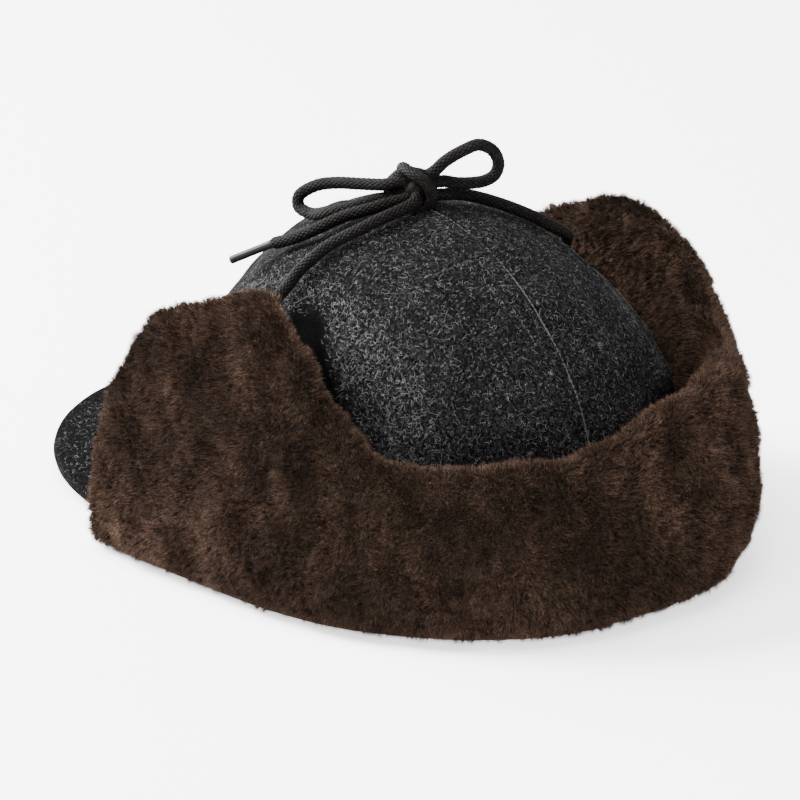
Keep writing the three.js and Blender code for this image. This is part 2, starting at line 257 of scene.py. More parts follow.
class WoolCapColours(bpy.types.PropertyGroup):
    """The colours of the cap's materials."""

    wool_dark: hue("Wool, dark", (0.0022, 0.0020, 0.0023), "The dark fibres of the heathered wool")
    wool_light: hue("Wool, light", (0.0130, 0.0124, 0.0129), "The lighter fibres of the heathered wool")
    fibre: hue("Loose fibre", (0.16, 0.16, 0.16), "The pale fibres on the wool")
    pile_root: hue("Pile, root", (0.0034, 0.0019, 0.0012), "The sheepskin's pile near the skin")
    pile_tip: hue("Pile, tip", (0.086, 0.0525, 0.0358), "The sheepskin's pile at its ends")
    cord: hue("Cord", (0.0165, 0.0132, 0.0118), "The braided cord")
    tip: hue("Cord tip", (0.009, 0.009, 0.0095), "The plastic tips of the cord")
    floor: hue("Floor", (0.9, 0.9, 0.9), "The floor of the picture")


def unit(directions):
    """Directions divided by their own lengths."""
    return directions / np.maximum(np.linalg.norm(directions, axis=-1, keepdims=True), 1e-12)


def dot(first, second):
    """The products of two arrays of directions, summed over x, y and z."""
    return np.sum(first * second, axis=-1)


def walked_along(path):
    """How far along a path each of its points lies."""
    steps = np.linalg.norm(np.diff(path, axis=0), axis=1)
    return np.concatenate(([0], np.cumsum(steps)))


def read_line(line, places, at):
    """Points of a line at new places, blended from the points on both sides."""
    return np.stack([np.interp(at, places, axis) for axis in line.T], axis=-1)


def curve_through(points, count):
    """Points at even distances along a smooth curve through the given ones. Each span is a cubic whose end
    slopes come from its neighbours, weighed by the square roots of the spans' lengths."""
    points = np.asarray(points, float)
    before, after = 2 * points[:1] - points[1:2], 2 * points[-1:] - points[-2:-1]
    p = np.vstack((before, points, after))
    gap = np.sqrt(np.linalg.norm(np.diff(p, axis=0), axis=1))[:, None]
    gap_a, gap_b, gap_c = gap[:-2], gap[1:-1], gap[2:]
    p0, p1, p2, p3 = p[:-3], p[1:-2], p[2:-1], p[3:]
    leave = ((p1 - p0) / gap_a - (p2 - p0) / (gap_a + gap_b)) * gap_b + p2 - p1
    arrive = ((p3 - p2) / gap_c - (p3 - p1) / (gap_b + gap_c)) * gap_b + p2 - p1
    t = np.linspace(0, 1, 32, endpoint=False)[None, :, None]
    spans = (
        (2 * t**3 - 3 * t**2 + 1) * p1[:, None] + (t**3 - 2 * t**2 + t) * leave[:, None]
        + (3 * t**2 - 2 * t**3) * p2[:, None] + (t**3 - t**2) * arrive[:, None]
    )
    fine = np.vstack((spans.reshape(-1, points.shape[1]), points[-1:]))
    walked = walked_along(fine)
    return read_line(fine, walked, np.linspace(0, walked[-1], count))


def table_column(rows, name, at):
    """One column of a table whose first column rises, read between its rows along a cubic whose slopes at a
    row are those of the chord between its neighbours."""
    place = np.clip(np.searchsorted(rows[:, 0], at) - 1, 0, len(rows) - 2)
    after, before, beyond = place + 1, np.maximum(place - 1, 0), np.minimum(place + 2, len(rows) - 1)
    x, value = rows[:, 0], rows[:, name]
    span = x[after] - x[place]
    t = np.clip((at - x[place]) / span, 0, 1)
    slope_a = (value[after] - value[before]) / (x[after] - x[before]) * span
    slope_b = (value[beyond] - value[place]) / (x[beyond] - x[place]) * span
    return (
        (2 * t**3 - 3 * t**2 + 1) * value[place] + (t**3 - 2 * t**2 + t) * slope_a
        + (3 * t**2 - 2 * t**3) * value[after] + (t**3 - t**2) * slope_b
    )


def soft_waves(places, size, seed, waves=7):
    """A smooth random field from -1 to 1 or so: sines in random directions, with wavelengths near size."""
    rng = np.random.default_rng(seed)
    directions = unit(rng.normal(size=(waves, 3)))
    lengths = size * rng.uniform(0.6, 1.5, waves)
    phases = rng.uniform(0, 2 * np.pi, waves)
    total = np.zeros(places.shape[:-1])
    for direction, length, phase in zip(directions, lengths, phases):
        total += np.sin(places @ direction * (2 * np.pi / length) + phase)
    return total / np.sqrt(waves)


def soft_shifts(places, size, seeds):
    """A smooth random direction at each place: one soft field for each of its three seeds."""
    return np.stack([soft_waves(places, size, seed) for seed in seeds], axis=-1)


def grid_faces(rows, columns, closed=False):
    """The quads between neighbouring points of a grid. A closed grid joins its last column to its first."""
    index = np.arange(rows * columns).reshape(rows, columns)
    here = index if closed else index[:, :-1]
    beside = np.roll(index, -1, axis=1) if closed else index[:, 1:]
    quads = np.stack((here[:-1], beside[:-1], beside[1:], here[1:]), axis=-1)
    return quads.reshape(-1, 4)


def folded_faces(rows, columns):
    """The faces of a closed slab whose every row runs out along one side and back along the other: quads
    round it, and quads across its two ends between each point and the one behind it."""
    half = columns // 2
    out = np.arange(half - 1)
    back = columns - 1 - out
    first = np.stack((out + 1, out, back, back - 1), axis=-1)
    last = np.stack((out, out + 1, back - 1, back), axis=-1) + (rows - 1) * columns
    return np.vstack((grid_faces(rows, columns, closed=True), first, last))


def new_piece(name, points, faces, material, tone=None):
    """A piece with its points in the part's frame. faces is one array of quads or triangles, or several.
    tone is a number from 0 to 1 at each point, which its material reads. The crown's wool and the braided cord
    read it as painted shade; the pile and the loose fibres as their own colour's tone."""
    points = np.asarray(points, float).reshape(-1, 3)
    groups = faces if isinstance(faces, list) else [faces]
    corners = np.concatenate([group.ravel() for group in groups])
    counts = np.concatenate([np.full(len(group), group.shape[1]) for group in groups])
    mesh = bpy.data.meshes.new(name)
    mesh.vertices.add(len(points))
    mesh.vertices.foreach_set("co", points.astype(np.float32).ravel())
    mesh.loops.add(len(corners))
    mesh.loops.foreach_set("vertex_index", corners.astype(np.int32))
    mesh.polygons.add(len(counts))
    starts = np.concatenate(([0], np.cumsum(counts)[:-1]))
    mesh.polygons.foreach_set("loop_start", starts.astype(np.int32))
    mesh.polygons.foreach_set("use_smooth", np.ones(len(counts), bool))
    mesh.update(calc_edges=True)
    if tone is not None:
        layer = mesh.attributes.new("tone", "FLOAT", "POINT")
        layer.data.foreach_set("value", np.asarray(tone, np.float32).ravel())
    mesh.materials.append(material)
    piece = bpy.data.objects.new(name, mesh)
    bpy.context.scene.collection.objects.link(piece)
    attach(piece, "root")
    return piece


def surface_normals(grid):
    """The direction outwards at each point of a grid, across its two ways."""
    return unit(np.cross(np.gradient(grid, axis=1), np.gradient(grid, axis=0)))


def read_grid(values, row, column):
    """Values of a grid at places between its points, blended from the four round each one."""
    i = np.clip(row.astype(int), 0, values.shape[0] - 2)
    j = np.clip(column.astype(int), 0, values.shape[1] - 2)
    u, v = row - i, column - j
    if values.ndim == 3:
        u, v = u[:, None], v[:, None]
    top = values[i, j] * (1 - v) + values[i, j + 1] * v
    bottom = values[i + 1, j] * (1 - v) + values[i + 1, j + 1] * v
    return top * (1 - u) + bottom * u


def cell_areas(grid):
    """The area of each cell of a grid of points, from the sides that meet in its first corner."""
    along = grid[1:, :-1] - grid[:-1, :-1]
    across = grid[:-1, 1:] - grid[:-1, :-1]
    return np.linalg.norm(np.cross(along, across), axis=-1)


def scattered(grid, count, rng, weight=None):
    """Random places on a grid of points, as rows and columns: a cell is drawn by its area, times weight, and
    then a place inside it."""
    area = cell_areas(grid)
    if weight is not None:
        area = area * weight[:-1, :-1]
    chosen = rng.choice(area.size, count, p=area.ravel() / area.sum())
    row, column = np.divmod(chosen, area.shape[1])
    return row + rng.random(count), column + rng.random(count)


def carried_directions(path):
    """The directions beside and over each point of a path. They start from a fixed direction and are turned
    back by the sum of its turns round the path, so that they don't spin."""
    ahead = unit(np.gradient(path, axis=0))
    beside = unit(np.cross(ahead, (0.31, 0.22, 0.93)))
    over = np.cross(ahead, beside)
    carried = beside[:-1] - ahead[1:] * dot(beside[:-1], ahead[1:])[:, None]
    turns = np.arctan2(dot(carried, over[1:]), dot(carried, beside[1:]))
    turn = np.concatenate(([0], np.cumsum(turns)))[:, None]
    return np.cos(turn) * beside + np.sin(turn) * over, np.cos(turn) * over - np.sin(turn) * beside


def tube(path, radius):
    """Points of a tube, in rings about a path: each is the path's point plus its radius times the cosine of
    its angle beside the path and the sine over it. radius is an array of rings by sides."""
    beside, over = carried_directions(path)
    angle = 2 * np.pi * np.arange(radius.shape[1]) / radius.shape[1]
    round_it = (
        np.cos(angle)[None, :, None] * beside[:, None] + np.sin(angle)[None, :, None] * over[:, None]
    )
    return path[:, None] + radius[..., None] * round_it


def closed_tube_faces(rings, sides):
    """The faces of a tube with a fan over each end. Its points are the rings, then the two end middles."""
    out = np.arange(sides)
    beside = (out + 1) % sides
    middle = rings * sides
    first = np.stack((np.full(sides, middle), beside, out), axis=-1)
    last_ring = (rings - 1) * sides
    last = np.stack((np.full(sides, middle + 1), last_ring + out, last_ring + beside), axis=-1)
    return [grid_faces(rings, sides, closed=True), np.vstack((first, last))]


def closed_tube_points(rings):
    """The points that closed_tube_faces joins: every ring, then the middle of the first and of the last."""
    ends = rings[[0, -1]].mean(axis=1)
    return np.vstack((rings.reshape(-1, 3), ends))


def braid(walked, angle, strands, pitch):
    """The relief of a round braid from 0 to 1, and a tone of painted shade. Two sets of strands wind opposite
    ways.
    Each is a rounded ridge, and where the two cross, one rises over the other by turns. The tone follows the
    relief, so that the grooves are painted dark as shade, and some crossings are lighter than others."""
    one = angle * strands / (2 * np.pi) + walked / pitch
    other = angle * strands / (2 * np.pi) - walked / pitch
    over = np.cos(np.pi * one) * np.cos(np.pi * other)
    first = np.abs(np.cos(np.pi * one)) ** 0.6 * (0.72 + 0.28 * over)
    second = np.abs(np.cos(np.pi * other)) ** 0.6 * (0.72 - 0.28 * over)
    relief = np.maximum(first, second)
    crossing = 31 * np.round(one).astype(int) + 17 * np.round(other).astype(int)
    own = np.random.default_rng(3).random(997) ** 1.6
    return relief, np.clip((relief - 0.62) / 0.34, 0, 1) * (0.12 + 0.88 * own[crossing % 997])


def braided_tube(path, diameter):
    """Points, faces and tones of a braided cord: a tube whose radius follows the braid and shrinks at its
    ends. The tones are painted shade in the braid's grooves."""
    walked = walked_along(path)[:, None]
    angle = (2 * np.pi * np.arange(BRAID_SIDES) / BRAID_SIDES)[None, :]
    relief, shade = braid(walked, angle, BRAID_STRANDS, BRAID_PITCH)
    end = np.minimum(walked, walked[-1] - walked) / (0.3 * diameter)
    draw_in = np.sqrt(1 - np.clip(1 - end, 0, 0.95) ** 2)
    radius = 0.5 * diameter * (0.70 + 0.36 * relief) * draw_in
    points = closed_tube_points(tube(path, radius))
    faces = closed_tube_faces(len(path), BRAID_SIDES)
    return points, faces, np.concatenate((shade.ravel(), (0, 0)))


def new_material(name, roughness, specular):
    """A material with one Principled shader, and that shader. Its constants are set on its own sockets."""
    material = bpy.data.materials.new(name)
    material.use_nodes = True
    shader = material.node_tree.nodes["Principled BSDF"]
    shader.inputs["Roughness"].default_value = roughness
    shader.inputs["Specular IOR Level"].default_value = specular
    return material, shader


def maths(tree, operation, first, second):
    """The output of a Math node. Each value is a number or a socket."""
    node = tree.nodes.new("ShaderNodeMath")
    node.operation = operation
    for socket, value in zip(node.inputs, (first, second)):
        if isinstance(value, bpy.types.NodeSocket):
            tree.links.new(value, socket)
        else:
            socket.default_value = value
    return node.outputs[0]


def mixed(tree, share, first, second, blend="MIX"):
    """The output of a colour mix. share, first and second are sockets or values."""
    node = tree.nodes.new("ShaderNodeMix")
    node.data_type = "RGBA"
    node.blend_type = blend
    for place, value in ((0, share), (6, first), (7, second)):
        if isinstance(value, bpy.types.NodeSocket):
            tree.links.new(value, node.inputs[place])
        else:
            node.inputs[place].default_value = value
    return node.outputs[2]


def spread(tree, value, low, high, to_low=0.0, to_high=1.0):
    """The output of a Map Range node that spreads low to high over to_low to to_high."""
    node = tree.nodes.new("ShaderNodeMapRange")
    tree.links.new(value, node.inputs["Value"])
    for name, number in (("From Min", low), ("From Max", high), ("To Min", to_low), ("To Max", to_high)):
        node.inputs[name].default_value = number
    return node.outputs["Result"]


def noise(tree, place, scale, detail=2.0, roughness=0.5, distortion=0.0):
    """The output of a noise texture at a place, with scale in features per metre."""
    node = tree.nodes.new("ShaderNodeTexNoise")
    tree.links.new(place, node.inputs["Vector"])
    node.inputs["Scale"].default_value = scale
    node.inputs["Detail"].default_value = detail
    node.inputs["Roughness"].default_value = roughness
    node.inputs["Distortion"].default_value = distortion
    return node.outputs[0]


def new_group(name, inputs, outputs):
    """An empty shader node group with named sockets: the group, its input sockets and its output sockets. Each
    table gives a socket's kind by its name."""
    group = bpy.data.node_groups.new(name, "ShaderNodeTree")
    for way, sockets in (("INPUT", inputs), ("OUTPUT", outputs)):
        for label, kind in sockets.items():
            group.interface.new_socket(name=label, in_out=way, socket_type=f"NodeSocket{kind}")
    return group, group.nodes.new("NodeGroupInput").outputs, group.nodes.new("NodeGroupOutput").inputs


def shared_group(name, build):
    """A shader node group, built once by its function and then taken by its name."""
    return bpy.data.node_groups.get(name) or build(name)


def heather_group(name):
    """Heathered wool: a mottle of dark and light fibres, with thin curly pale ones. Each curl is where a noise
    passes its middle value, kept only where a second noise is high. Where its shade input is high, shade behind
    the flap is painted: the wool is nearly black."""
    group, given, out = new_group(
        name,
        {"Place": "Vector", "Dark": "Color", "Light": "Color", "Fibre": "Color", "Fibre amount": "Float",
         "Painted shade": "Float"},
        {"Colour": "Color", "Height": "Float"},
    )
    place = given["Place"]
    mottle = spread(group, noise(group, place, 760, 3.0, 0.7), 0.44, 0.66)
    cloud = spread(group, noise(group, place, 55, 2.0), 0.35, 0.7, 0.75, 1.15)
    colour = mixed(group, mottle, given["Dark"], given["Light"])
    curls = 0.0
    for scale, width, kept, shift in CURL_LAYERS:
        moved = group.nodes.new("ShaderNodeVectorMath")
        moved.operation = "ADD"
        group.links.new(place, moved.inputs[0])
        moved.inputs[1].default_value = (shift, shift, shift)
        wave = noise(group, moved.outputs[0], scale, 1.0, 0.5, 0.6)
        off_middle = maths(group, "ABSOLUTE", maths(group, "SUBTRACT", wave, 0.5), 0.0)
        line = spread(group, off_middle, 0.0, width, 1.0, 0.0)
        piece = spread(group, noise(group, moved.outputs[0], 1.7 * scale, 1.0), kept, kept + 0.1)
        curls = maths(group, "MAXIMUM", maths(group, "MULTIPLY", line, piece), curls)
    amount = maths(group, "MULTIPLY", curls, given["Fibre amount"])
    with_fibres = mixed(group, amount, colour, given["Fibre"])
    shaded = mixed(group, 1.0, with_fibres, cloud, "MULTIPLY")
    # Painted shade: the wool is drawn nearly black where the shade input behind the flap is high.
    group.links.new(mixed(group, given["Painted shade"], shaded, PAINTED_SHADE_COLOUR), out["Colour"])
    group.links.new(maths(group, "ADD", mottle, curls), out["Height"])
    return group


def fleece_group(name):
    """Sheepskin: from the root's colour to the tip's by a tone, in soft patches and with a fine grain."""
    group, given, out = new_group(
        name, {"Place": "Vector", "Tone": "Float", "Root": "Color", "Tip": "Color"}, {"Colour": "Color"}
    )
    patch = spread(group, noise(group, given["Place"], 24, 2.0, 0.5), 0.32, 0.68, 0.64, 1.5)
    grain = spread(group, noise(group, given["Place"], 1300, 2.0, 0.7), 0.36, 0.64, 0.12, 2.1)
    colour = mixed(group, given["Tone"], given["Root"], given["Tip"])
    patched = mixed(group, 1.0, colour, patch, "MULTIPLY")
    group.links.new(mixed(group, 1.0, patched, grain, "MULTIPLY"), out["Colour"])
    return group


def placed_group(material, shader, group, values):
    """A group in a material, with its Place from the piece's own coordinates, its Colour led to the shader and
    each of its other inputs set to a value."""
    tree = material.node_tree
    node = tree.nodes.new("ShaderNodeGroup")
    node.node_tree = group
    coordinates = tree.nodes.new("ShaderNodeTexCoord")
    tree.links.new(coordinates.outputs["Object"], node.inputs["Place"])
    tree.links.new(node.outputs["Colour"], shader.inputs["Base Color"])
    for label, value in values.items():
        node.inputs[label].default_value = value
    return node


def tone_socket(material):
    """The tone that a piece's points hold."""
    node = material.node_tree.nodes.new("ShaderNodeAttribute")
    node.attribute_name = "tone"
    return node.outputs["Fac"]


def add_bump(material, shader, height, distance):
    """A Bump node from a height to the shader's normal."""
    bump = material.node_tree.nodes.new("ShaderNodeBump")
    bump.inputs["Distance"].default_value = distance
    bump.inputs["Strength"].default_value = 1.0
    material.node_tree.links.new(height, bump.inputs["Height"])
    material.node_tree.links.new(bump.outputs["Normal"], shader.inputs["Normal"])


def darkened(colour, share):
    """A colour times a share, with its alpha kept at 1."""
    return (*[share * part for part in colour[:3]], 1)


def wool_material(name, fibre_amount, shade=1.0, painted_flap_shade=False):
    """Heathered wool with its own amount of pale fibres and its own shade, a share that darkens its colours; on
    the peak this darker copy is painted shade. Where a piece's points hold a high tone, shade behind the flap is
    painted nearly black."""
    colours = bpy.context.scene.wool_cap_colours
    material, shader = new_material(name, 0.95, 0.02)
    values = {
        "Dark": darkened(colours.wool_dark, shade), "Light": darkened(colours.wool_light, shade),
        "Fibre": darkened(colours.fibre, 0.45), "Fibre amount": fibre_amount,
    }
    node = placed_group(material, shader, shared_group("Heathered wool", heather_group), values)
    if painted_flap_shade:
        material.node_tree.links.new(tone_socket(material), node.inputs["Painted shade"])
    add_bump(material, shader, node.outputs["Height"], 0.00025)
    return material


def fleece_material(name, with_tone):
    """Sheepskin for the pile, whose points hold a tone, or for the ground under it."""
    colours = bpy.context.scene.wool_cap_colours
    material, shader = new_material(name, 0.85, 0.08)
    values = {"Root": colours.pile_root, "Tip": colours.pile_tip, "Tone": 0.12}
    node = placed_group(material, shader, shared_group("Sheepskin", fleece_group), values)
    if with_tone:
        material.node_tree.links.new(tone_socket(material), node.inputs["Tone"])
    return material


def plain_material(name, colour, roughness, specular, tone_shade=None):
    """One colour, darkened towards tone_shade where a piece's points hold a low tone. Pieces share it."""
    found = bpy.data.materials.get(name)
    if found:
        return found
    material, shader = new_material(name, roughness, specular)
    if tone_shade is None:
        shader.inputs["Base Color"].default_value = colour
    else:
        shade = mixed(material.node_tree, tone_socket(material), darkened(colour, tone_shade), colour)
        material.node_tree.links.new(shade, shader.inputs["Base Color"])
    return material


def crown_girth(rise, swell=0.06):
    """The crown's half size at a share of its height, as a share of that at its rim."""
    full = np.maximum(1 - np.clip(rise, 0, 1) ** 3.2, 0) ** 0.538
    return full * (1 + swell * np.sin(np.pi * np.minimum(1.3 * rise, 1)))


def crown_slice(sizes, x, angle, inset):
    """Points of the crown's surface in planes of one x: the place at an angle over the rim, from the front
    over the top to the back, that halving finds to lie on the dome drawn in by inset."""
    low = np.zeros(np.broadcast(x, angle, inset).shape)
    high = np.full(low.shape, sizes.crown_length)
    for _ in range(36):
        reach = 0.5 * (low + high)
        rise = reach * np.sin(angle) / (sizes.crown_height - inset)
        girth = np.maximum(crown_girth(rise), 1e-6)
        across = (x - sizes.crown_lean * rise**2) / ((0.5 * sizes.crown_width - inset) * girth)
        along = reach * np.cos(angle) / ((0.5 * sizes.crown_length - inset) * girth)
        inside = (rise < 1) & (across**2 + along**2 < 1)
        low, high = np.where(inside, reach, low), np.where(inside, high, reach)
    points = (x + 0 * low, -low * np.cos(angle), sizes.rim_lift + low * np.sin(angle))
    return np.stack(points, axis=-1) + RIM_MIDDLE


def crown_side(sizes, seam, sign, across, up, inset):
    """Points of a side panel: up its height, at a turn about the crown's middle that reaches the seam's plane
    where across is -1 and 1."""
    half = 0.5 * sizes.crown_width
    rises = np.linspace(0, 1, 4000)
    reach = half * crown_girth(rises) + sign * sizes.crown_lean * rises**2
    top = rises[np.nonzero(reach > abs(seam))[0][-1]]
    rise = top * np.sin(0.5 * np.pi * up)
    girth = crown_girth(rise)
    edge = np.clip((abs(seam) - sign * sizes.crown_lean * rise**2) / (half * girth), -1, 1)
    turn = across * np.arccos(edge)
    points = (
        sign * (half - inset) * girth * np.cos(turn) + sizes.crown_lean * rise**2,
        (0.5 * sizes.crown_length - inset) * girth * np.sin(turn),
        sizes.rim_lift + rise * (sizes.crown_height - inset),
    )
    return np.stack(np.broadcast_arrays(*points), axis=-1) + RIM_MIDDLE


def rolled_edge(near):
    """How far a rounded edge draws in, as a share of its radius: 1 at the edge itself, where near is 0, and 0
    from where near is 1."""
    short = np.clip(1 - near, 0, 1)
    return 1 - np.sqrt(np.maximum(1 - short**2, 0))


def slab(outer, inner):
    """A closed slab between two faces: rows that run along the outer one and back along the inner one, and
    the faces that join them."""
    rings = np.concatenate((outer, inner[:, ::-1]), axis=1)
    return rings, folded_faces(rings.shape[0], rings.shape[1])


def crown_panel(sizes, shape):
    """Outer and inner face of one panel. The shape gives the counts of points across and up, a point from
    across (-1 to 1), up (0 to 1) and inset, the panel's width at each height, and the distance to its ends."""
    across_count, up_count, place, width_of, end_distance = shape
    across = np.sin(0.5 * np.pi * np.linspace(-1, 1, across_count))[None, :]
    up = np.linspace(0, 1, up_count)[:, None]
    side_gap = 0.5 * width_of(up) * (1 - np.abs(across))
    end_gap = end_distance(up) + 0 * across
    wall, roll = sizes.wool_wall, 0.42 * sizes.wool_wall
    drop = np.maximum(roll * rolled_edge(side_gap / SEAM_ROLL), roll * rolled_edge(end_gap / RIM_ROLL))
    surface = place(across, up, 0 * drop)
    dimple = 0.0005 * soft_waves(surface, 0.045, 3) + 0.00022 * soft_waves(surface, 0.012, 4)
    swell = 0.0007 * np.exp(-(((side_gap - 0.006) / 0.005) ** 2))
    calm = np.clip(side_gap / CALM_EDGE, 0, 1) * np.clip(end_gap / CALM_EDGE, 0, 1)
    outer = place(across, up, drop + calm * (0.0004 + dimple) - calm * swell)
    inner = place(across, up, wall - drop)
    return outer, inner


def crown_shapes(sizes):
    """The four panels' shapes, by the names of the solids they stand for."""
    middle, gap = sizes.middle_seam, sizes.seam_spacing
    half = 0.5 * sizes.crown_length

    def sliced(from_x, to_x):
        def place(across, up, inset):
            x = 0.5 * (from_x + to_x) + 0.5 * (to_x - from_x) * across
            return crown_slice(sizes, x, np.pi * up, inset)

        def width_of(up):
            return (to_x - from_x) + 0 * up

        return 60, 260, place, width_of, lambda up: 2 * half * np.minimum(up, 1 - up)

    def sided(seam, sign):
        def place(across, up, inset):
            return crown_side(sizes, seam, sign, sign * across, up, inset)

        def width_of(up):
            return 1.6 * half * np.sqrt(np.maximum(1 - up**2, 0)) + 0.0001

        return 150, 110, place, width_of, lambda up: 0.11 * up

    return {
        "crown_side_left": sided(middle + gap, 1),
        "crown_top_left": sliced(middle, middle + gap),
        "crown_top_right": sliced(middle - gap, middle),
        "crown_side_right": sided(middle - gap, -1),
    }


def flap_painted_shade(sizes, points):
    """Painted shade on the crown behind the flap: how deep places on the crown lie behind it, from 1 under its
    edge
    to 0 well over it: the flap's height at the same turn about the crown's middle, less their own."""
    place, _, height, _, _ = flap_sections(sizes, 360)
    turns = np.arctan2(place[:, 0], place[:, 1])
    flat = points - RIM_MIDDLE
    flap_height = np.interp(np.arctan2(flat[..., 0], flat[..., 1]), turns, height, left=0, right=0)
    share = np.clip((flap_height - FLAP_SHADE_DEPTH - points[..., 2]) / FLAP_SHADE_BORDER, 0, 1)
    return share**2 * (3 - 2 * share)


def curled_fibres(roots, normals, length, width, lift, curl, rng):
    """Flat ribbons that lie on a surface: each runs from its root in a random direction and turns steadily by
    its own curl, bulging off the surface in the middle. Their points, faces and tones."""
    count, steps = len(roots), 4
    sideways = unit(np.cross(normals, unit(rng.normal(size=(count, 3)))))
    other = np.cross(normals, sideways)
    step_length = (length / steps)[:, None]
    turn = curl[:, None] * np.linspace(-1, 1, steps + 1)[None, :] + 0 * step_length
    forward = np.cumsum(np.cos(turn) * step_length, axis=1)
    aside = np.cumsum(np.sin(turn) * step_length, axis=1)
    bulge = lift[:, None] * np.sin(np.pi * np.linspace(0.06, 0.94, steps + 1))[None, :]
    line = (
        roots[:, None] + forward[..., None] * sideways[:, None] + aside[..., None] * other[:, None]
        + bulge[..., None] * normals[:, None]
    )
    ahead = unit(np.gradient(line, axis=1))
    beside = unit(np.cross(normals[:, None], ahead))
    taper = np.sin(np.pi * np.linspace(0.12, 0.88, steps + 1))[None, :, None]
    offset = 0.5 * width[:, None, None] * taper * beside
    points = np.stack((line - offset, line + offset), axis=2)
    first = np.arange(count)[:, None] * 2 * (steps + 1) + 2 * np.arange(steps)[None, :]
    faces = np.stack((first, first + 1, first + 3, first + 2), axis=-1).reshape(-1, 4)
    tone = np.broadcast_to(rng.random(count)[:, None], (count, 2 * (steps + 1)))
    return points.reshape(-1, 3), faces[:, ::-1], tone


def add_fibres(name, grids, weights, count, rng):
    """Loose pale fibres scattered over the outer faces of some wool pieces by their weights, in one piece."""
    material = plain_material("Loose fibre", bpy.context.scene.wool_cap_colours.fibre, 0.7, 0.3, 0.25)
    areas = [cell_areas(grid).sum() for grid in grids]
    points, faces, tones, used = [], [], [], 0
    for grid, area, weight in zip(grids, areas, weights):
        share = int(count * area / sum(areas))
        row, column = scattered(grid, share, rng, weight)
        normals = unit(read_grid(surface_normals(grid), row, column))
        roots = read_grid(grid, row, column) + 0.00008 * normals
        length = rng.uniform(0.0010, 0.0030, share)
        width = rng.uniform(0.00005, 0.00010, share)
        lift = rng.uniform(0.0, 0.0005, share)
        curl = rng.normal(0, 1.9, share)
        made, joined, tone = curled_fibres(roots, normals, length, width, lift, curl, rng)
        points.append(made)
        faces.append(joined + used)
        tones.append(tone.ravel())
        used += len(made)
    return new_piece(name, np.vstack(points), np.vstack(faces), material, np.concatenate(tones))


def stitches(line, normals):
    """Stitches along a line on a surface: short round bars whose ends dip into the cloth."""
    walked = walked_along(line)
    count = int(walked[-1] / STITCH_SPACING)
    rings, sides = 7, 6
    start = np.arange(count) * STITCH_SPACING
    at = start[:, None] + STITCH_LENGTH * np.linspace(0, 1, rings)[None, :]
    centre = read_line(line, walked, at)
    up = unit(read_line(normals, walked, at))
    ahead = unit(np.gradient(centre, axis=1))
    beside = np.cross(ahead, up)
    arch = np.sin(np.pi * np.linspace(0, 1, rings))[None, :, None]
    centre = centre + up * STITCH_THICKNESS * (0.55 * arch - 0.35)
    angle = 2 * np.pi * np.arange(sides) / sides
    radius = 0.5 * STITCH_THICKNESS * np.sin(np.pi * np.linspace(0.08, 0.92, rings)) ** 0.4
    round_it = np.cos(angle)[:, None] * beside[:, :, None] + np.sin(angle)[:, None] * up[:, :, None]
    points = centre[:, :, None] + radius[None, :, None, None] * round_it
    one = grid_faces(rings, sides, closed=True)
    faces = (one[None] + (np.arange(count) * rings * sides)[:, None, None]).reshape(-1, 4)
    return points.reshape(-1, 3), faces


def peak_surface(sizes, side, share, inset):
    """Points of the peak: side runs across it and share from its root by the crown to its edge. The root
    follows the crown's front and the edge is a rounded rectangle. The arch falls with the square of x."""
    turn, root_turn = 0.5 * np.pi * side, np.radians(67) * side
    half_x, half_y = 0.5 * sizes.crown_width, 0.5 * sizes.crown_length
    girth = crown_girth(np.array(0.13))
    root_x = (half_x * girth + 2 * CLEARANCE) * np.sin(root_turn)
    root_y = -(half_y * girth + 2 * CLEARANCE) * np.cos(root_turn)
    edge_x = 0.5 * sizes.peak_width * np.sign(side) * np.abs(np.sin(turn)) ** (2 / 3)
    reach = sizes.peak_reach - sizes.peak_shoulder
    edge_y = -sizes.peak_shoulder - reach * np.maximum(np.cos(turn), 0) ** (2 / 3)
    x = root_x + (edge_x - root_x) * share
    y = root_y + (edge_y - root_y) * share
    across = x / (0.5 * sizes.peak_width)
    z = sizes.peak_root_height - sizes.peak_droop * share - sizes.peak_arch * across**2 - inset
    return np.stack(np.broadcast_arrays(x, y, z), axis=-1) + RIM_MIDDLE


def flap_sections(sizes, count):
    """Place, outward direction, height, depth and stand of the flap at count sections from one front end round
    the back to the other, crowded towards the ends."""
    half_x, half_y = 0.5 * sizes.crown_width, 0.5 * sizes.crown_length
    plan = [(-across * half_x, back * half_y) for across, back in FLAP_PLAN[:0:-1]]
    plan += [(across * half_x, back * half_y) for across, back in FLAP_PLAN]
    fine = curve_through(plan, 3000)
    even = np.linspace(-1, 1, count)
    along = np.abs(even) * (1.3 - 0.3 * np.abs(even))
    share = 0.5 + 0.5 * np.sign(even) * along
    at, places = share * (len(fine) - 1), np.arange(len(fine))
    place = read_line(fine, places, at)
    tangent = unit(read_line(np.gradient(fine, axis=0), places, at))
    outward = np.column_stack((-tangent[:, 1], tangent[:, 0]))
    height = sizes.ear_height * (
        table_column(FLAP_FORM, 1, along) - np.sign(even) * table_column(FLAP_FORM, 2, along)
    )
    depth = sizes.fleece_depth * table_column(FLAP_FORM, 3, along)
    stand = sizes.fleece_depth * table_column(FLAP_FORM, 4, along)
    return place, outward, height, depth, stand


def flap_points(sizes, sections, out, up):
    """Points of flap sections, out from their inner faces and up from the table. Each section leans out with
    the power 2.2 of its height over the fold."""
    place, outward, _, _, stand = sections
    share = np.maximum((up - sizes.fold_depth) / (sizes.ear_height - sizes.fold_depth), 0)
    lean = out + stand[:, None] * share**2.2
    flat = place[:, None] + outward[:, None] * lean[..., None]
    return np.concatenate((flat, up[..., None]), axis=-1) + RIM_MIDDLE


def cloth_top(sizes, sections):
    """The height of the flap's cloth at each section."""
    return np.maximum(0.5 * sections[2], sizes.fold_depth + 0.002)


